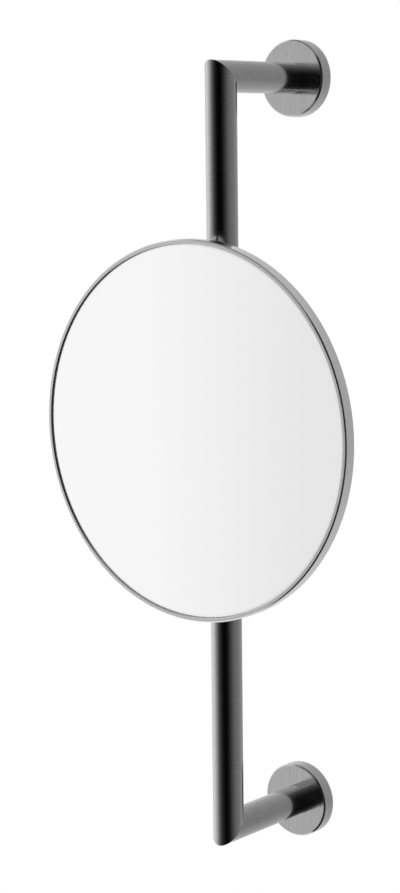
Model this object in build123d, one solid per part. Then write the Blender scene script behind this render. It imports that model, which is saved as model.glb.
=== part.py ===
from build123d import *
import os
from math import sqrt

os.makedirs("parts", exist_ok=True)

# A round makeup mirror that slides, turns and tilts on a wall rail.
# Millimetres. +X is right and +Z is up, seen from the front. The wall is the plane Y = 0, the
# mirror faces -Y, and the origin lies on the wall midway between the two rosettes.

# Rail, arms and rosettes
rail_diameter = 16.0
tube_wall = 1.5
arm_spacing = 385.0
rail_standoff = 65.5
rosette_diameter = 39.4
rosette_side_wall = 2.0
rosette_face_wall = 2.4
rosette_bevel = 0.8

# Wall plates inside the rosettes
plate_front_gap = 1.2
plate_edge_gap = 0.2
plate_groove_depth = 1.0
plate_lip = 0.3
wall_screw_hole = 4.5
wall_screw_edge = 3.25

# Screw that holds each arm to its rosette, and the plug it turns into
arm_screw_thread = 5.0
arm_screw_grip = 9.6
arm_screw_head = 9.0
arm_screw_head_height = 2.6
arm_screw_head_gap = 1.5
arm_screw_key = 3.0
arm_screw_key_depth = 1.6
arm_plug_end = 6.2
arm_plug_chamfer = 1.0

# Grub screw under each rosette
grub_thread = 3.0
grub_point = 1.2
grub_key = 1.5
grub_key_depth = 0.9
grub_sunk = 0.1

# Mirror head
mirror_diameter = 191.4
mirror_height = 17.6
rim_face = 2.2
rim_bevel = 0.6
rim_edge_break = 0.2
glass_recess = 1.0
glass_thickness = 4.0
glass_bevel = 0.3
gasket_thickness = 0.2
gasket_recess = 0.3
foam_thickness = 0.6
foam_edge_gap = 1.5
cover_thickness = 1.2
cover_ledge = 0.8

# Nylon bush on the rail
bush_wall = 2.5
bush_flange = 1.6
bush_flange_rim = 1.5
bush_split = 0.4

# Brake pad and leaf spring in the bush's back half
pad_width = 8.8
pad_height = 15.8
pad_thickness = 0.95
leaf_width = 5.0
leaf_length = 14.0
leaf_thickness = 0.25
leaf_collar_gap = 0.26

# Collar round the bush
collar_height = 30.0
collar_wall = 1.87
collar_web = 1.4
collar_side_wall = 1.5
collar_corner = 6.0
collar_edge = 0.6
collar_split = 0.4
collar_screw_thread = 3.0
collar_screw_head = 5.5
collar_screw_head_height = 3.0
collar_screw_key = 2.5
collar_screw_key_depth = 1.8
collar_screw_cover = 5.8
collar_screw_z = 9.0

# Tilt hinge between the collar's tongue and the bracket's fork
hinge_collar_gap = 4.0
hinge_cover_gap = 5.0
tongue_width = 8.0
tongue_radius = 3.2
tongue_root_height = 11.0
fork_ear = 3.0
fork_ear_radius = 3.5
fork_root_height = 13.0
friction_washer = 0.45
tilt_bolt_thread = 3.0
tilt_bolt_end = 0.5
tilt_bolt_head = 5.5
tilt_bolt_head_height = 2.0
tilt_bolt_key = 2.0
tilt_bolt_key_depth = 1.2
spring_washer = 0.5
tilt_nut_height = 4.0

# Bracket on the mirror's back
bracket_thickness = 1.5
bracket_corner = 6.0
stud_thread = 3.0
stud_end = 0.5
stud_edge = 5.0
stud_nut_height = 2.4
stud_x = 15.0
stud_z = 11.0

# Nuts and the small edges of screws and nuts
nut_width = 5.5
screw_tip_break = 0.3
screw_head_round = 0.4
nut_break = 0.28

# Clearances
bush_rail_clearance = 0.05
collar_bush_clearance = 0.08
collar_end_clearance = 0.15
pin_clearance = 0.05
washer_clearance = 0.05
screw_hole_clearance = 0.2
seat_clearance = 0.02
edge_clearance = 0.05
window_clearance = 0.1
point_clearance = 0.1

# Wall end, worked out from the sizes
rail_radius = rail_diameter / 2
bore_radius = rail_radius - tube_wall
arm_height = arm_spacing / 2
rosette_radius = rosette_diameter / 2
rosette_inner_radius = rosette_radius - rosette_side_wall
plate_radius = rosette_inner_radius - plate_edge_gap
plate_groove_floor = grub_point + 2 * point_clearance
plate_thickness = plate_groove_floor + 2 * plate_groove_depth + 2 * plate_lip
plate_centre_hole = arm_screw_head + 2 * arm_screw_head_gap
wall_screw_x = plate_radius - plate_groove_depth - wall_screw_edge - wall_screw_hole / 2
rosette_depth = rosette_face_wall + plate_front_gap + plate_thickness
rosette_floor_y = -rosette_depth + rosette_face_wall
arm_screw_length = rosette_face_wall + arm_screw_grip
arm_plug_length = arm_screw_grip + screw_hole_clearance + arm_plug_end
grub_y = -plate_thickness / 2
grub_foot = rosette_radius - grub_sunk
grub_length = grub_foot - plate_radius + plate_groove_depth - point_clearance

# Carriage, worked out outwards from the rail
bush_inner_radius = rail_radius + bush_rail_clearance
bush_outer_radius = bush_inner_radius + bush_wall
flange_radius = bush_outer_radius + bush_flange_rim
bush_half_height = collar_height / 2 + collar_end_clearance + bush_flange
collar_bore_radius = bush_outer_radius + collar_bush_clearance
collar_depth = 2 * (collar_bore_radius + collar_wall)
collar_screw_x = collar_bore_radius + collar_web + collar_screw_head / 2
collar_width = 2 * (collar_screw_x + collar_screw_head / 2 + collar_side_wall)
collar_front_y = -rail_standoff - collar_depth / 2
collar_back_y = -rail_standoff + collar_depth / 2
collar_screw_seat_y = collar_back_y - collar_screw_head_height - screw_hole_clearance
collar_screw_length = collar_screw_seat_y - collar_front_y - collar_screw_cover
split_reach = collar_width + collar_height
pad_flat_y = -rail_standoff + bush_inner_radius + pad_thickness
leaf_near_y = pad_flat_y + seat_clearance
leaf_far_y = leaf_near_y + leaf_thickness
leaf_room = sqrt(collar_bore_radius ** 2 - (leaf_width / 2) ** 2) - leaf_collar_gap
leaf_bow = leaf_room - rail_standoff - leaf_far_y

# Hinge and mirror, worked out forwards from the collar
hinge_y = collar_front_y - hinge_collar_gap
fork_inner_x = tongue_width / 2 + friction_washer + washer_clearance
fork_outer_x = fork_inner_x + fork_ear
tilt_bolt_length = 2 * fork_outer_x + spring_washer + tilt_nut_height + tilt_bolt_end
mirror_radius = mirror_diameter / 2
rim_inner_radius = mirror_radius - rim_face
glass_radius = rim_inner_radius - gasket_thickness
rim_back_y = hinge_y - hinge_cover_gap
cover_front_y = rim_back_y - cover_thickness
glass_back_y = cover_front_y - foam_thickness
glass_front_y = glass_back_y - glass_thickness
rim_front_y = glass_front_y - glass_recess
bracket_width = 2 * (stud_x + stud_edge)
bracket_height = 2 * (stud_z + stud_edge)
bracket_back_y = rim_back_y + bracket_thickness
stud_length = bracket_thickness + stud_nut_height + stud_end


def cylinder_x(radius, left, right, y, z):
    """Cylinder along X between two places."""
    return Pos((left + right) / 2, y, z) * Rot(0, 90, 0) * Cylinder(radius, right - left)


def cylinder_y(radius, front, back, x, z):
    """Cylinder along Y between two places."""
    return Pos(x, (front + back) / 2, z) * Rot(90, 0, 0) * Cylinder(radius, back - front)


def cylinder_z(radius, low, high, x, y):
    """Cylinder along Z between two heights."""
    return Pos(x, y, (low + high) / 2) * Cylinder(radius, high - low)


def box(left, right, front, back, low, high):
    """Box between two corners."""
    centre = Pos((left + right) / 2, (front + back) / 2, (low + high) / 2)
    return centre * Box(right - left, back - front, high - low)


def turned(points, z):
    """Body turned about the line along Y at height z, from its (radius, Y) outline."""
    outline = make_face(Polyline(*points, close=True))
    return Pos(0, 0, z) * revolve(outline, Axis.Y)


def side_plate(points, thickness):
    """Plate across X, centred on X = 0, from its (Y, Z) outline."""
    outline = Plane.YZ * make_face(Polyline(*points, close=True))
    return extrude(outline, thickness / 2, both=True)


def hexagon(width, height):
    """Six-sided prism along Z, standing on Z = 0, of one width across its flats."""
    return extrude(RegularPolygon(width / 2, 6, major_radius=False), height)


def screw(thread, length, head, head_height, key, key_depth):
    """Socket screw along Z, with its head standing on Z = 0 and its shank below."""
    shank = cylinder_z(thread / 2, -length, 0, 0, 0)
    shank = chamfer(shank.edges().sort_by(Axis.Z)[0], screw_tip_break)
    cap = cylinder_z(head / 2, 0, head_height, 0, 0)
    cap = fillet(cap.edges().sort_by(Axis.Z)[-1], screw_head_round)
    socket = Pos(0, 0, head_height - key_depth) * hexagon(key, key_depth)
    return shank + cap - socket


def nut(height, thread):
    """Six-sided nut along Z, standing on Z = 0, with its corners turned off."""
    blank = Pos(0, 0, height / 2) * Cylinder(nut_width / 2 + nut_break, height)
    blank = chamfer(blank.edges().filter_by(GeomType.CIRCLE), nut_break)
    body = hexagon(nut_width, height) & blank
    return body - cylinder_z(thread / 2 + seat_clearance, 0, height, 0, 0)


def four_places(x, z):
    """The corners of a rectangle centred on the mirror's centre."""
    return [(side * x, mirror_height + level * z) for side in (-1, 1) for level in (-1, 1)]


def mitre_wedge(side, wall_side):
    """Half of the block round a corner of the rail, cut by the corner's 45 degree plane."""
    reach = rail_diameter
    middle = side * arm_height
    outer = (-rail_standoff - reach, middle + side * reach)
    inner = (-rail_standoff + reach, middle - side * reach)
    if wall_side:
        third = (-rail_standoff + reach, middle + side * reach)
    else:
        third = (-rail_standoff - reach, middle - side * reach)
    return side_plate([outer, inner, third], 2 * reach)


def rail_tube():
    """Upright tube, cut to a mitre at both ends."""
    end = arm_height + rail_radius
    tube = cylinder_z(rail_radius, -end, end, 0, -rail_standoff)
    tube -= cylinder_z(bore_radius, -end, end, 0, -rail_standoff)
    for side in (1, -1):
        tube -= mitre_wedge(side, True)
    return tube


def arm_tube(side):
    """Level tube from a rosette's face to the rail's mitre."""
    front = -rail_standoff - rail_radius
    tube = cylinder_y(rail_radius, front, -rosette_depth, 0, side * arm_height)
    tube -= cylinder_y(bore_radius, front, -rosette_depth, 0, side * arm_height)
    return tube - mitre_wedge(side, False)


def arm_plug(side):
    """Plug in the wall end of an arm, with a blind hole for its screw."""
    z = side * arm_height
    front = -rosette_depth - arm_plug_length
    plug = cylinder_y(bore_radius - seat_clearance, front, -rosette_depth, 0, z)
    rims = plug.edges().filter_by(GeomType.CIRCLE).sort_by(Axis.Y)
    plug = chamfer(rims[0], arm_plug_chamfer)
    hole_front = -rosette_depth - arm_screw_grip - screw_hole_clearance
    hole_radius = arm_screw_thread / 2 + seat_clearance
    return plug - cylinder_y(hole_radius, hole_front, -rosette_depth, 0, z)


def rosette(side):
    """Cup over a wall plate, with a bevelled front edge and a hole for its grub screw."""
    z = side * arm_height
    hole = arm_screw_thread / 2 + screw_hole_clearance
    cup = turned([
        (hole, -rosette_depth),
        (rosette_radius - rosette_bevel, -rosette_depth),
        (rosette_radius, -rosette_depth + rosette_bevel),
        (rosette_radius, 0),
        (rosette_inner_radius, 0),
        (rosette_inner_radius, rosette_floor_y),
        (hole, rosette_floor_y),
    ], z)
    low = z - rosette_radius - rosette_side_wall
    return cup - cylinder_z(grub_thread / 2 + seat_clearance, low, z - bore_radius, 0, grub_y)


def wall_plate(side):
    """Disc on the wall, grooved round its edge for the grub screw's point."""
    floor = plate_groove_floor / 2
    mouth = floor + plate_groove_depth
    plate = turned([
        (plate_centre_hole / 2, 0),
        (plate_radius, 0),
        (plate_radius, grub_y + mouth),
        (plate_radius - plate_groove_depth, grub_y + floor),
        (plate_radius - plate_groove_depth, grub_y - floor),
        (plate_radius, grub_y - mouth),
        (plate_radius, -plate_thickness),
        (plate_centre_hole / 2, -plate_thickness),
    ], side * arm_height)
    for x in (-wall_screw_x, wall_screw_x):
        plate -= cylinder_y(wall_screw_hole / 2, -plate_thickness, 0, x, side * arm_height)
    return plate


def rosette_screws():
    """One screw in each rosette, driven from the wall side into the arm's plug."""
    one = screw(arm_screw_thread, arm_screw_length, arm_screw_head,
                arm_screw_head_height, arm_screw_key, arm_screw_key_depth)
    one = Rot(-90, 0, 0) * one
    return Compound([Pos(0, rosette_floor_y, side * arm_height) * one for side in (1, -1)])


def rosette_grub_screws():
    """One headless screw under each rosette, its point in the wall plate's groove."""
    body = cylinder_z(grub_thread / 2, 0, grub_length, 0, 0)
    body = chamfer(body.edges().sort_by(Axis.Z)[-1], (grub_thread - grub_point) / 2)
    one = body - hexagon(grub_key, grub_key_depth)
    return Compound([Pos(0, grub_y, side * arm_height - grub_foot) * one for side in (1, -1)])


def rim_ring():
    """Ring round the mirror, with a ledge at its back for the cover."""
    ledge_radius = rim_inner_radius + cover_ledge
    return turned([
        (rim_inner_radius, rim_front_y + rim_edge_break),
        (rim_inner_radius + rim_edge_break, rim_front_y),
        (mirror_radius - rim_bevel, rim_front_y),
        (mirror_radius, rim_front_y + rim_bevel),
        (mirror_radius, rim_back_y - rim_edge_break),
        (mirror_radius - rim_edge_break, rim_back_y),
        (ledge_radius, rim_back_y),
        (ledge_radius, cover_front_y),
        (rim_inner_radius, cover_front_y),
    ], mirror_height)


def mirror_glass():
    """Flat round glass, silvered, with a ground edge."""
    return turned([
        (0, glass_front_y),
        (glass_radius - glass_bevel, glass_front_y),
        (glass_radius, glass_front_y + glass_bevel),
        (glass_radius, glass_back_y),
        (0, glass_back_y),
    ], mirror_height)


def glass_gasket():
    """Soft strip between the glass's edge and the ring."""
    inner = glass_radius + seat_clearance
    outer = rim_inner_radius - seat_clearance
    front = glass_front_y + gasket_recess
    return turned([
        (inner, front),
        (outer, front),
        (outer, glass_back_y),
        (inner, glass_back_y),
    ], mirror_height)


def foam_pad():
    """Adhesive foam between the glass and the back cover."""
    return cylinder_y(glass_radius - foam_edge_gap, glass_back_y, cover_front_y, 0, mirror_height)


def back_cover():
    """Steel disc let into the ring from behind."""
    radius = rim_inner_radius + cover_ledge - edge_clearance
    return cylinder_y(radius, cover_front_y, rim_back_y, 0, mirror_height)


def half_of(whole, toward_mirror, gap):
    """Half of a part that is split across Y on the rail's axis."""
    low = mirror_height - split_reach
    high = mirror_height + split_reach
    if toward_mirror:
        front, back = -rail_standoff - split_reach, -rail_standoff - gap / 2
    else:
        front, back = -rail_standoff + gap / 2, -rail_standoff + split_reach
    return whole & box(-split_reach, split_reach, front, back, low, high)


def bush():
    """Whole bush, flanged at both ends, before it is split."""
    low = mirror_height - bush_half_height
    high = mirror_height + bush_half_height
    body = cylinder_z(bush_outer_radius, low, high, 0, -rail_standoff)
    body += cylinder_z(flange_radius, low, low + bush_flange, 0, -rail_standoff)
    body += cylinder_z(flange_radius, high - bush_flange, high, 0, -rail_standoff)
    return body - cylinder_z(bush_inner_radius, low, high, 0, -rail_standoff)


def glide_bush_front():
    """Half of the bush on the mirror's side."""
    return half_of(bush(), True, bush_split)


def glide_bush_back():
    """Half of the bush on the wall's side, with a window for the brake pad."""
    x = pad_width / 2 + window_clearance
    low = mirror_height - pad_height / 2 - window_clearance
    high = mirror_height + pad_height / 2 + window_clearance
    window = box(-x, x, -rail_standoff, -rail_standoff + collar_bore_radius, low, high)
    return half_of(bush(), False, bush_split) - window


def brake_pad():
    """Pad that fills the window and rubs on the rail."""
    low = mirror_height - pad_height / 2
    high = mirror_height + pad_height / 2
    block = box(-pad_width / 2, pad_width / 2, -rail_standoff, pad_flat_y, low, high)
    return block - cylinder_z(bush_inner_radius, low, high, 0, -rail_standoff)


def brake_spring():
    """Bowed leaf that bears on the pad with its ends and on the collar with its middle."""
    low = mirror_height - leaf_length / 2
    high = mirror_height + leaf_length / 2
    near = leaf_near_y
    far = leaf_far_y
    outline = make_face(Curve() + [
        ThreePointArc((near, low), (near + leaf_bow, mirror_height), (near, high)),
        Line((near, high), (far, high)),
        ThreePointArc((far, high), (far + leaf_bow, mirror_height), (far, low)),
        Line((far, low), (near, low)),
    ])
    return extrude(Plane.YZ * outline, leaf_width / 2, both=True)


def collar():
    """Whole collar, bored for the bush, before it is split."""
    block = Pos(0, -rail_standoff, mirror_height) * Box(collar_width, collar_depth, collar_height)
    block = fillet(block.edges().filter_by(Axis.Z), collar_corner)
    block = chamfer(block.faces().filter_by(Axis.Z).edges(), collar_edge)
    low = mirror_height - collar_height / 2
    high = mirror_height + collar_height / 2
    return block - cylinder_z(collar_bore_radius, low, high, 0, -rail_standoff)


def collar_front():
    """Front half of the collar, with threaded holes and the hinge's tongue."""
    half = half_of(collar(), True, collar_split)
    hole_end = collar_screw_seat_y - collar_screw_length - screw_hole_clearance
    for x, z in four_places(collar_screw_x, collar_screw_z):
        radius = collar_screw_thread / 2 + seat_clearance
        half -= cylinder_y(radius, hole_end, -rail_standoff, x, z)
    root = collar_front_y + collar_edge
    tongue = side_plate([
        (root, mirror_height - tongue_root_height / 2),
        (hinge_y, mirror_height - tongue_radius),
        (hinge_y, mirror_height + tongue_radius),
        (root, mirror_height + tongue_root_height / 2),
    ], tongue_width)
    left, right = -tongue_width / 2, tongue_width / 2
    tongue += cylinder_x(tongue_radius, left, right, hinge_y, mirror_height)
    hole_radius = tilt_bolt_thread / 2 + pin_clearance
    return half + tongue - cylinder_x(hole_radius, left, right, hinge_y, mirror_height)


def collar_back():
    """Back half of the collar, counterbored for the screws' heads."""
    half = half_of(collar(), False, collar_split)
    for x, z in four_places(collar_screw_x, collar_screw_z):
        shank = collar_screw_thread / 2 + screw_hole_clearance
        head = collar_screw_head / 2 + screw_hole_clearance
        half -= cylinder_y(shank, -rail_standoff, collar_back_y, x, z)
        half -= cylinder_y(head, collar_screw_seat_y, collar_back_y, x, z)
    return half


def collar_screws():
    """Four screws from the wall's side that pull the collar's halves together."""
    one = screw(collar_screw_thread, collar_screw_length, collar_screw_head,
                collar_screw_head_height, collar_screw_key, collar_screw_key_depth)
    one = Rot(-90, 0, 0) * one
    places = four_places(collar_screw_x, collar_screw_z)
    return Compound([Pos(x, collar_screw_seat_y, z) * one for x, z in places])


def hinge_bracket():
    """Plate on the back cover, with a fork for the tilt bolt."""
    middle = rim_back_y + bracket_thickness / 2
    plate = Pos(0, middle, mirror_height) * Box(bracket_width, bracket_thickness, bracket_height)
    plate = fillet(plate.edges().filter_by(Axis.Y), bracket_corner)
    ear = side_plate([
        (middle, mirror_height - fork_root_height / 2),
        (hinge_y, mirror_height - fork_ear_radius),
        (hinge_y, mirror_height + fork_ear_radius),
        (middle, mirror_height + fork_root_height / 2),
    ], fork_ear)
    ear += cylinder_x(fork_ear_radius, -fork_ear / 2, fork_ear / 2, hinge_y, mirror_height)
    for side in (-1, 1):
        plate += Pos(side * (fork_inner_x + fork_ear / 2), 0, 0) * ear
    hole_radius = tilt_bolt_thread / 2 + pin_clearance
    plate -= cylinder_x(hole_radius, -fork_outer_x, fork_outer_x, hinge_y, mirror_height)
    for x, z in four_places(stud_x, stud_z):
        radius = stud_thread / 2 + screw_hole_clearance
        plate -= cylinder_y(radius, rim_back_y, bracket_back_y, x, z)
    return plate


def bracket_studs():
    """Four threaded studs welded to the back cover."""
    one = cylinder_y(stud_thread / 2, rim_back_y, rim_back_y + stud_length, 0, 0)
    one = chamfer(one.edges().sort_by(Axis.Y)[-1], screw_tip_break)
    return Compound([Pos(x, 0, z) * one for x, z in four_places(stud_x, stud_z)])


def bracket_nuts():
    """Nuts on the four studs."""
    one = Rot(-90, 0, 0) * nut(stud_nut_height, stud_thread)
    return Compound([Pos(x, bracket_back_y, z) * one for x, z in four_places(stud_x, stud_z)])


def washer(radius, left, thickness):
    """Disc on the tilt bolt."""
    disc = cylinder_x(radius, left, left + thickness, hinge_y, mirror_height)
    hole_radius = tilt_bolt_thread / 2 + pin_clearance
    return disc - cylinder_x(hole_radius, left, left + thickness, hinge_y, mirror_height)


def friction_washers():
    """Two discs between the tongue and the fork's ears."""
    right = fork_inner_x - friction_washer
    return Compound([
        washer(tongue_radius, -fork_inner_x, friction_washer),
        washer(tongue_radius, right, friction_washer),
    ])


def tilt_bolt():
    """Pin of the tilt hinge, with its head at +X."""
    one = screw(tilt_bolt_thread, tilt_bolt_length, tilt_bolt_head,
                tilt_bolt_head_height, tilt_bolt_key, tilt_bolt_key_depth)
    return Pos(fork_outer_x, hinge_y, mirror_height) * Rot(0, 90, 0) * one


def tilt_spring_washer():
    """Disc spring under the tilt nut."""
    return washer(nut_width / 2, -fork_outer_x - spring_washer, spring_washer)


def tilt_nut():
    """Lock nut at the end of the tilt bolt."""
    one = nut(tilt_nut_height, tilt_bolt_thread)
    return Pos(-fork_outer_x - spring_washer, hinge_y, mirror_height) * Rot(0, -90, 0) * one


nodes = {
    "rail_tube": rail_tube(),
    "rosette_screws": rosette_screws(),
    "rosette_grub_screws": rosette_grub_screws(),
    "glide_bush_front": glide_bush_front(),
    "glide_bush_back": glide_bush_back(),
    "brake_pad": brake_pad(),
    "brake_spring": brake_spring(),
    "collar_front": collar_front(),
    "collar_back": collar_back(),
    "collar_screws": collar_screws(),
    "hinge_bracket": hinge_bracket(),
    "bracket_studs": bracket_studs(),
    "bracket_nuts": bracket_nuts(),
    "friction_washers": friction_washers(),
    "tilt_bolt": tilt_bolt(),
    "tilt_spring_washer": tilt_spring_washer(),
    "tilt_nut": tilt_nut(),
    "rim_ring": rim_ring(),
    "mirror_glass": mirror_glass(),
    "glass_gasket": glass_gasket(),
    "foam_pad": foam_pad(),
    "back_cover": back_cover(),
}
for end_name, end_side in (("upper", 1), ("lower", -1)):
    nodes[end_name + "_arm_tube"] = arm_tube(end_side)
    nodes[end_name + "_arm_plug"] = arm_plug(end_side)
    nodes[end_name + "_rosette"] = rosette(end_side)
    nodes[end_name + "_wall_plate"] = wall_plate(end_side)

for name, shape in nodes.items():
    export_step(shape, f"parts/{name}.step")
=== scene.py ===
from math import radians

import bpy
from mathutils import Matrix, Vector


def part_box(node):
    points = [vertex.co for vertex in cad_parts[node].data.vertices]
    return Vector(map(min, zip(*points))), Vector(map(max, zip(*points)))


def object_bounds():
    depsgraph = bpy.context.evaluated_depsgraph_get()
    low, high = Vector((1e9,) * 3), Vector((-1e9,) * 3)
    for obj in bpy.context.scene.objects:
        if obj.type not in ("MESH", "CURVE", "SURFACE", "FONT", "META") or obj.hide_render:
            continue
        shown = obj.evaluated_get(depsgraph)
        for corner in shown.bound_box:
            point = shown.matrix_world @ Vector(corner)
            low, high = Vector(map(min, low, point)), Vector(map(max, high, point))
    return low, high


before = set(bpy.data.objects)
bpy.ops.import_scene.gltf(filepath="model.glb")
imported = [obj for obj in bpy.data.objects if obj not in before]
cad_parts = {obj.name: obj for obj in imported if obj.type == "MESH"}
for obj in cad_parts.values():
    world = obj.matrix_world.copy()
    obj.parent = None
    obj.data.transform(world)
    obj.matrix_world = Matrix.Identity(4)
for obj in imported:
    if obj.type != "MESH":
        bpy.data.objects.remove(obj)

# Metres, in the frame of the CAD model: +X right and +Z up seen from the front, the wall at Y = 0.
cad_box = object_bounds()

# Camera, fitted to the photograph's viewing angle
CAMERA_PLACE = Vector((0.671563, -0.901845, 0.157081))
CAMERA_YAW = radians(39.430)
CAMERA_PITCH = radians(-7.943)
CAMERA_ROLL = radians(-0.683)
CAMERA_LENS = 86.05
CAMERA_NEAR = 0.01

# Floor, some way under the object as it hangs on its wall, with a glow that only the camera sees
FLOOR_DROP = 0.06
FLOOR_HALF = 12.0
FLOOR_COLOUR = (0.5, 0.5, 0.5, 1.0)
FLOOR_GLOW = 0.56

# Light: the level that matt surfaces see all round, and one soft lamp from the upper left
SKY_LEVEL = 0.72
LAMP_STRENGTH = 0.9
LAMP_ANGLE = radians(24.0)
LAMP_TOWARD = Vector((0.50, 0.62, -0.75))

# What the brushed metal sees round the object, as (direction in degrees, level). 0 is straight in
# front of the mirror and +90 is to its right. The room is light on the left, dark where the camera
# stands and grey on the right and behind. The ceiling is a little lighter than the camera's side.
ROOM_LEVELS = (
    (-180, 0.42), (-150, 0.60), (-138, 0.70), (-120, 0.78), (-100, 0.88), (-85, 0.97),
    (-80, 0.98), (-69, 0.78), (-57, 0.60), (-48, 0.42), (-36, 0.235), (-29, 0.15), (-18, 0.065),
    (-13, 0.04), (0, 0.008), (13, 0.002), (31, 0.002), (44, 0.012), (58, 0.045), (73, 0.105),
    (90, 0.175), (106, 0.21), (124, 0.25), (146, 0.30), (180, 0.42),
)
OVERHEAD_LEVELS = (
    (-180, 0.38), (-165, 0.43), (-150, 0.50), (-130, 0.80), (-100, 1.00), (-70, 0.85),
    (-40, 0.45), (-33, 0.40), (-21, 0.30), (-4, 0.20), (11, 0.10), (22, 0.05), (34, 0.012),
    (60, 0.04), (90, 0.15), (125, 0.26), (150, 0.31), (180, 0.38),
)
FLOOR_LEVELS = (
    (-180, 0.48), (-165, 0.56), (-150, 0.65), (-130, 0.85), (-100, 1.00), (-60, 0.65),
    (-45, 0.35), (-26, 0.13), (-10, 0.06), (6, 0.03), (18, 0.006), (50, 0.012), (75, 0.10),
    (90, 0.16), (125, 0.27), (140, 0.33), (155, 0.39), (180, 0.48),
)
TOP_LEVEL = 0.30
# Where each takes over from the room, as the upward part of the direction
OVERHEAD_FROM, OVERHEAD_TO = 0.15, 0.55
TOP_FROM, TOP_TO = 0.66, 0.86
FLOOR_FROM, FLOOR_TO = -0.16, -0.55

# What a sharp reflection sees, in the same form: always when it is a ray's first reflection, and
# after that only in directions to the left of SHARP_LEFT_OF
SHARP_LEVELS = (
    (-180, 1.00), (-60, 1.00), (-44, 0.985), (-40.5, 0.965), (-36.5, 0.835), (0, 0.76),
    (60, 0.76), (120, 0.90), (180, 1.00),
)
SHARP_LEFT_OF = radians(-20)
# Glossy Depth is 1 on a ray's first reflection and 2 on its next
FIRST_REFLECTION = 1.5

# Polish over the brushing: with this index it returns a third of the light that meets it squarely
POLISH_IOR = 3.7
# A bevel's normal has a Y between these, a side wall's is smaller and a flat face's is larger
BEVEL_FROM, BEVEL_TO = 0.32, 0.92
# Waves in the rosettes' polish for each metre, and their depth
RIPPLES = 2600.0
RIPPLE_DEPTH = 0.00002

# Brush lines for each metre across them: broad on what the photograph shows, fine on the back
BRUSH = 2200.0
FINE_BRUSH = 5200.0
# How fast their noise changes along them, which is slow, so that the lines are long
ALONG_ROSETTE = 40.0
ALONG_COLLAR = 60.0
ALONG_ROUND = 2.2
# How fast a round grain changes along its axis, as a share of how fast it does outwards
AXIAL_SHARE = 0.62
BRUSH_STRENGTH = 0.35
BRUSH_DEPTH = 0.00001
# The part of the noise that takes a streak from dark to light, and what that does to roughness
STREAK_FROM, STREAK_TO = 0.25, 0.75
ROUGHNESS_SWING = 0.12
# Brushed metal blurs its reflections across the lines, which is a quarter turn from the tangent
BRUSHED = 0.6
LEVEL_BRUSHED = 0.7
QUARTER_TURN = 0.25

# Grain of unbrushed surfaces: the part of the noise that is used, and its relief
MOULDED_FROM, MOULDED_TO = 0.3, 0.7
MOULDED_STRENGTH = 0.5
ROLLED_CONTRAST = 0.08
NOISE_ROUGHNESS = 0.65

SATIN = (0.62, 0.62, 0.62)
BRIGHT_SATIN = (0.80, 0.80, 0.80)
MILL = (0.52, 0.52, 0.53)
ZINC = (0.58, 0.59, 0.61)
SCREW = (0.50, 0.50, 0.51)
SPRING = (0.36, 0.36, 0.38)
NYLON = (0.12, 0.12, 0.12)
BRAKE_RUBBER = (0.05, 0.05, 0.05)
GASKET_RUBBER = (0.60, 0.60, 0.60)
FOAM = (0.75, 0.75, 0.72)

# Silvering, and the dimmer ground edge of the glass in shares of its radius
SILVER = (0.95, 0.95, 0.95)
GROUND_EDGE = (0.86, 0.87, 0.865)
EDGE_FROM, EDGE_TO = 0.983, 0.995

# Places of a Mix node's sockets for colours, because their names are shared with other types
MIX_FACTOR, MIX_FIRST, MIX_SECOND, MIX_RESULT = 0, 6, 7, 2


def grey(level):
    """A level as a colour."""
    return (level, level, level, 1.0)


def feed(tree, socket, value):
    """Gives an input socket a value or the output of another node."""
    if isinstance(value, bpy.types.NodeSocket):
        tree.links.new(value, socket)
    else:
        socket.default_value = value


def add(tree, kind, inputs=None, **settings):
    """A shader node with its settings and inputs."""
    made = tree.nodes.new("ShaderNode" + kind)
    for name, value in settings.items():
        setattr(made, name, value)
    for name, value in (inputs or {}).items():
        feed(tree, made.inputs[name], value)
    return made


def calculate(tree, operation, *values):
    """Output of a Math node."""
    return add(tree, "Math", dict(enumerate(values)), operation=operation).outputs[0]


def calculate_vector(tree, operation, *values):
    """Output of a Vector Math node: a vector, or a number for a length."""
    made = add(tree, "VectorMath", dict(enumerate(values)), operation=operation)
    return made.outputs["Value" if operation == "LENGTH" else "Vector"]


def ramp(tree, factor, stops, interpolation="LINEAR"):
    """Output of a Color Ramp with grey (place, level) or coloured (place, (r, g, b)) stops."""
    made = add(tree, "ValToRGB", {"Fac": factor})
    made.color_ramp.interpolation = interpolation
    elements = made.color_ramp.elements
    while len(elements) < len(stops):
        elements.new(1.0)
    for element, (place, level) in zip(elements, stops):
        element.position = place
        element.color = (*level, 1.0) if isinstance(level, tuple) else grey(level)
    return made.outputs["Color"]


def blend_colours(tree, factor, first, second):
    """Output of a Mix node for colours."""
    made = add(tree, "Mix", data_type="RGBA")
    feed(tree, made.inputs[MIX_FACTOR], factor)
    feed(tree, made.inputs[MIX_FIRST], first)
    feed(tree, made.inputs[MIX_SECOND], second)
    return made.outputs[MIX_RESULT]


def new_material(name):
    """Empty node material, with its tree."""
    material = bpy.data.materials.new(name)
    material.use_nodes = True
    material.node_tree.nodes.clear()
    return material, material.node_tree


def finish_surface(tree, shader):
    """Makes a shader the material's surface."""
    output = add(tree, "OutputMaterial")
    tree.links.new(shader.outputs[0], output.inputs["Surface"])


def camera_sees(tree):
    """1 for a ray that comes straight from the camera or through glass, and 0 for others."""
    rays = add(tree, "LightPath").outputs
    return calculate(tree, "MAXIMUM", rays["Is Camera Ray"], rays["Is Transmission Ray"])


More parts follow.
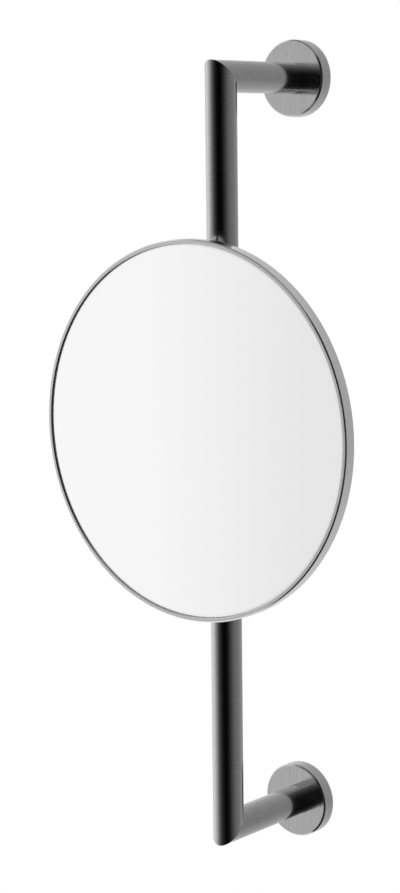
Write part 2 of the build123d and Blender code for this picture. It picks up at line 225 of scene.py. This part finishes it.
def sees_sharply(tree, rays, turn):
    """1 for a ray off a polished surface that meets the sharp levels, and 0 for others."""
    first = calculate(tree, "LESS_THAN", rays["Glossy Depth"], FIRST_REFLECTION)
    leftward = calculate(tree, "LESS_THAN", turn, SHARP_LEFT_OF)
    either = calculate(tree, "MAXIMUM", first, leftward)
    return calculate(tree, "MULTIPLY", rays["Is Singular Ray"], either)


def make_world():
    """White to the camera and through glass, and a room with a dark camera side to the metal."""
    world = bpy.data.worlds.new("studio")
    bpy.context.scene.world = world
    world.cycles.sampling_method = "NONE"
    world.use_nodes = True
    tree = world.node_tree
    tree.nodes.clear()
    direction = add(tree, "TexCoord").outputs["Generated"]
    parts = add(tree, "SeparateXYZ", {0: direction}).outputs
    forward = calculate(tree, "MULTIPLY", parts["Y"], -1.0)
    turn = calculate(tree, "ARCTAN2", parts["X"], forward)
    share = add(tree, "MapRange", {"Value": turn, "From Min": radians(-180), "From Max": radians(180)})
    level, overhead, floor, image = (
        ramp(tree, share.outputs[0], [(angle / 360 + 0.5, level) for angle, level in levels])
        for levels in (ROOM_LEVELS, OVERHEAD_LEVELS, FLOOR_LEVELS, SHARP_LEVELS)
    )
    up, top, down = (
        add(tree, "MapRange", {"Value": parts["Z"], "From Min": start, "From Max": end},
            interpolation_type="SMOOTHSTEP").outputs[0]
        for start, end in ((OVERHEAD_FROM, OVERHEAD_TO), (TOP_FROM, TOP_TO), (FLOOR_FROM, FLOOR_TO))
    )
    room = blend_colours(tree, up, level, overhead)
    room = blend_colours(tree, top, room, grey(TOP_LEVEL))
    room = blend_colours(tree, down, room, floor)
    rays = add(tree, "LightPath").outputs
    metal_sees = blend_colours(tree, sees_sharply(tree, rays, turn), room, image)
    surfaces_see = blend_colours(tree, rays["Is Glossy Ray"], grey(SKY_LEVEL), metal_sees)
    colour = blend_colours(tree, camera_sees(tree), surfaces_see, grey(1.0))
    light = add(tree, "Background", {"Color": colour, "Strength": 1.0})
    output = add(tree, "OutputWorld")
    tree.links.new(light.outputs[0], output.inputs["Surface"])


def make_lamp():
    """One broad soft lamp."""
    data = bpy.data.lights.new("soft_lamp", "SUN")
    data.energy = LAMP_STRENGTH
    data.angle = LAMP_ANGLE
    lamp = bpy.data.objects.new("soft_lamp", data)
    lamp.rotation_euler = LAMP_TOWARD.to_track_quat("-Z", "Y").to_euler()
    lamp.visible_glossy = False
    bpy.context.collection.objects.link(lamp)


def make_floor():
    """Pale floor that keeps the object's shadow; it has no underside, so a low view is clear."""
    height = cad_box[0].z - FLOOR_DROP
    signs = ((-1, -1), (1, -1), (1, 1), (-1, 1))
    corners = [(x * FLOOR_HALF, y * FLOOR_HALF, height) for x, y in signs]
    mesh = bpy.data.meshes.new("floor")
    mesh.from_pydata(corners, [], [(0, 1, 2, 3)])
    floor = bpy.data.objects.new("floor", mesh)
    floor.visible_glossy = False
    bpy.context.collection.objects.link(floor)
    material, tree = new_material("floor")
    matt = add(tree, "BsdfDiffuse", {"Color": FLOOR_COLOUR})
    strength = calculate(tree, "MULTIPLY", camera_sees(tree), FLOOR_GLOW)
    glow = add(tree, "Emission", {"Strength": strength})
    both = add(tree, "AddShader", {0: matt.outputs[0], 1: glow.outputs[0]})
    underside = add(tree, "NewGeometry").outputs["Backfacing"]
    clear = add(tree, "BsdfTransparent")
    one_sided = add(tree, "MixShader", {0: underside, 1: both.outputs[0], 2: clear.outputs[0]})
    finish_surface(tree, one_sided)
    mesh.materials.append(material)


def make_camera():
    """Camera at the photograph's viewing angle."""
    data = bpy.data.cameras.new("camera")
    data.lens = CAMERA_LENS
    data.clip_start = CAMERA_NEAR
    camera = bpy.data.objects.new("camera", data)
    turn = Matrix.Rotation(CAMERA_YAW, 4, "Z")
    tip = Matrix.Rotation(radians(90) + CAMERA_PITCH, 4, "X")
    roll = Matrix.Rotation(CAMERA_ROLL, 4, "Z")
    camera.matrix_world = Matrix.Translation(CAMERA_PLACE) @ turn @ tip @ roll
    bpy.context.collection.objects.link(camera)
    bpy.context.scene.camera = camera


def centred(tree, node):
    """Object coordinates measured from the middle of a CAD node."""
    low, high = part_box(node)
    place = add(tree, "TexCoord").outputs["Object"]
    return calculate_vector(tree, "SUBTRACT", place, tuple((low + high) / 2))


def round_grain(tree, node, axis, fine):
    """Fine streaks that run round an axis through a node's middle: noise from 0 to 1."""
    place = add(tree, "SeparateXYZ", {0: centred(tree, node)}).outputs
    first, second = [place[name] for name in "XYZ" if name != axis]
    flat = add(tree, "CombineXYZ", {0: first, 1: second}).outputs[0]
    radius = calculate_vector(tree, "LENGTH", flat)
    heading = calculate_vector(tree, "NORMALIZE", flat)
    slowly = add(tree, "VectorMath", {0: heading, "Scale": ALONG_ROUND}, operation="SCALE").outputs[0]
    across = calculate(tree, "MULTIPLY_ADD", place[axis], AXIAL_SHARE, radius)
    quickly = calculate(tree, "MULTIPLY", across, fine)
    return add(tree, "TexNoise", {"Vector": slowly, "W": quickly, "Scale": 1.0, "Detail": 3.0,
                                  "Roughness": NOISE_ROUGHNESS}, noise_dimensions="4D").outputs["Fac"]


def straight_grain(tree, scales):
    """Fine straight streaks: noise from 0 to 1, stretched by a scale for each axis."""
    place = add(tree, "TexCoord").outputs["Object"]
    stretched = calculate_vector(tree, "MULTIPLY", place, scales)
    return add(tree, "TexNoise", {"Vector": stretched, "Scale": 1.0, "Detail": 2.0,
                                  "Roughness": NOISE_ROUGHNESS}).outputs["Fac"]


def even_grain(tree, scale):
    """Grain that is alike in every direction: noise from 0 to 1."""
    return straight_grain(tree, (scale, scale, scale))


def shades(colour, contrast):
    """A colour made darker, and made lighter, by a share of itself."""
    dark = tuple(part * (1 - contrast) for part in colour)
    light = tuple(min(1.0, part * (1 + contrast)) for part in colour)
    return dark, light


def over_streaks(tree, streaks, start, end):
    """A value that goes from start to end where the streaks go from dark to light."""
    return add(tree, "MapRange", {"Value": streaks, "From Min": STREAK_FROM, "From Max": STREAK_TO,
                                  "To Min": start, "To Max": end}).outputs[0]


def relief(tree, height, strength, depth):
    """Normals of a surface raised by a grain."""
    return add(tree, "Bump", {"Height": height, "Strength": strength, "Distance": depth}).outputs[0]


def metal(name, grain, tangent, colour, contrast, roughness, anisotropy, gloss=None, ripple=0.0):
    """Metal whose colour, roughness and surface follow a grain.

    gloss gives the share that is polished, and ripple the depth of the polish's fine waves.
    """
    material, tree = new_material(name)
    streaks = grain(tree)
    dark, light = shades(colour, contrast)
    shader = add(tree, "BsdfPrincipled", {
        "Base Color": ramp(tree, streaks, ((STREAK_FROM, dark), (STREAK_TO, light))),
        "Metallic": 1.0,
        "Roughness": over_streaks(tree, streaks, roughness * (1 + ROUGHNESS_SWING),
                                  roughness * (1 - ROUGHNESS_SWING)),
        "Anisotropic": anisotropy,
        "Anisotropic Rotation": QUARTER_TURN,
        "Normal": relief(tree, streaks, BRUSH_STRENGTH, BRUSH_DEPTH),
        "Tangent": tangent(tree),
    })
    if gloss:
        worn = over_streaks(tree, streaks, 1 - contrast, 1.0)
        tree.links.new(calculate(tree, "MULTIPLY", gloss(tree), worn), shader.inputs["Coat Weight"])
        shader.inputs["Coat Roughness"].default_value = 0.0
        shader.inputs["Coat IOR"].default_value = POLISH_IOR
    if ripple:
        waves = relief(tree, even_grain(tree, RIPPLES), 1.0, ripple)
        tree.links.new(waves, shader.inputs["Coat Normal"])
    finish_surface(tree, shader)
    return material


def facing(tree):
    """How squarely a surface faces the front or the wall, from 0 to 1."""
    normal = add(tree, "TexCoord").outputs["Normal"]
    return calculate(tree, "ABSOLUTE", add(tree, "SeparateXYZ", {0: normal}).outputs["Y"])


def polish(face, side):
    """Polish of a turned piece: one share on its flat faces, one on its side walls, none on bevels."""
    return lambda tree: ramp(tree, facing(tree), ((0.0, side), (BEVEL_FROM, 0.0), (BEVEL_TO, face)),
                             "CONSTANT")


def radial(axis):
    """Tangents that run round an axis through the node's middle."""
    return lambda tree: add(tree, "Tangent", direction_type="RADIAL", axis=axis).outputs[0]


def satin_round(node, axis, roughness, colour=SATIN, contrast=0.14, gloss=None, brush=BRUSH):
    """Satin steel brushed round an axis, for tubes, the rim and the back cover."""
    return metal("satin_" + node, lambda tree: round_grain(tree, node, axis, brush), radial(axis),
                 colour, contrast, roughness, BRUSHED, gloss=gloss)


def satin_rosette(node):
    """Rosette: its face is brushed upright and its side wall round."""

    def on_face(tree):
        return calculate(tree, "GREATER_THAN", facing(tree), BEVEL_TO)

    def grain(tree):
        upright = straight_grain(tree, (BRUSH, ALONG_ROSETTE, ALONG_ROSETTE))
        return blend_colours(tree, on_face(tree), round_grain(tree, node, "Y", BRUSH), upright)

    def tangent(tree):
        return blend_colours(tree, on_face(tree), radial("Y")(tree), (0.0, 0.0, 1.0, 1.0))

    return metal("satin_" + node, grain, tangent, SATIN, contrast=0.16, roughness=0.17,
                 anisotropy=BRUSHED, gloss=polish(face=1.0, side=0.2), ripple=RIPPLE_DEPTH)


def satin_level(node):
    """Satin steel brushed level, for the collar."""
    return metal("satin_" + node,
                 lambda tree: straight_grain(tree, (ALONG_COLLAR, ALONG_COLLAR, FINE_BRUSH)),
                 radial("Z"), SATIN, contrast=0.06, roughness=0.34, anisotropy=LEVEL_BRUSHED)


def rolled(name, colour, roughness, scale=900.0):
    """Unbrushed metal with a fine even grain."""
    return metal(name, lambda tree: even_grain(tree, scale), radial("Y"), colour, ROLLED_CONTRAST,
                 roughness, anisotropy=0.0)


def moulded(name, colour, roughness, scale, contrast, depth):
    """Plastic, rubber or foam with a fine surface."""
    material, tree = new_material(name)
    grain = even_grain(tree, scale)
    dark, light = shades(colour, contrast)
    shader = add(tree, "BsdfPrincipled", {
        "Base Color": ramp(tree, grain, ((MOULDED_FROM, dark), (MOULDED_TO, light))),
        "Roughness": roughness,
        "Normal": relief(tree, grain, MOULDED_STRENGTH, depth),
    })
    finish_surface(tree, shader)
    return material


def silvered(node):
    """Mirror glass: a sharp reflection, a little dimmer towards its ground edge."""
    material, tree = new_material(node)
    low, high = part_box(node)
    place = add(tree, "SeparateXYZ", {0: centred(tree, node)}).outputs
    flat = add(tree, "CombineXYZ", {0: place["X"], 1: place["Z"]}).outputs[0]
    out = calculate(tree, "DIVIDE", calculate_vector(tree, "LENGTH", flat), (high.x - low.x) / 2)
    tone = ramp(tree, out, ((0.0, SILVER), (EDGE_FROM, SILVER), (EDGE_TO, GROUND_EDGE)))
    shader = add(tree, "BsdfPrincipled", {"Base Color": tone, "Metallic": 1.0, "Roughness": 0.0})
    finish_surface(tree, shader)
    return material


def dress():
    """Gives every CAD node its material; those that aren't named here are screws, studs and nuts."""
    screw = rolled("screw_steel", SCREW, roughness=0.30)
    plain = rolled("plain_steel", MILL, roughness=0.38)
    spring = rolled("spring_steel", SPRING, roughness=0.30)
    zinc = rolled("zinc_plate", ZINC, roughness=0.32, scale=500.0)
    nylon = moulded("nylon", NYLON, roughness=0.45, scale=1500.0, contrast=0.12, depth=0.00002)
    materials = {
        "rail_tube": satin_round("rail_tube", "Z", roughness=0.13),
        "rim_ring": satin_round("rim_ring", "Y", roughness=0.18, colour=BRIGHT_SATIN, contrast=0.10,
                                gloss=polish(face=1.0, side=0.5)),
        "mirror_glass": silvered("mirror_glass"),
        "glass_gasket": moulded("gasket_rubber", GASKET_RUBBER, roughness=0.6, scale=2500.0,
                                contrast=0.1, depth=0.00002),
        "foam_pad": moulded("foam", FOAM, roughness=0.9, scale=1800.0, contrast=0.06, depth=0.0001),
        "back_cover": satin_round("back_cover", "Y", roughness=0.24, contrast=0.08, brush=FINE_BRUSH),
        "hinge_bracket": plain,
        "collar_front": satin_level("collar_front"),
        "collar_back": satin_level("collar_back"),
        "glide_bush_front": nylon,
        "glide_bush_back": nylon,
        "friction_washers": nylon,
        "tilt_spring_washer": spring,
        "brake_spring": spring,
        "brake_pad": moulded("brake_rubber", BRAKE_RUBBER, roughness=0.8, scale=2500.0, contrast=0.2,
                             depth=0.00004),
    }
    for end in ("upper", "lower"):
        materials[end + "_arm_tube"] = satin_round(end + "_arm_tube", "Y", roughness=0.11)
        materials[end + "_rosette"] = satin_rosette(end + "_rosette")
        materials[end + "_wall_plate"] = zinc
        materials[end + "_arm_plug"] = plain
    for name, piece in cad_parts.items():
        piece.data.materials.clear()
        piece.data.materials.append(materials.get(name, screw))


make_camera()
make_world()
make_lamp()
make_floor()
dress()
bpy.context.scene.view_settings.view_transform = "Standard"
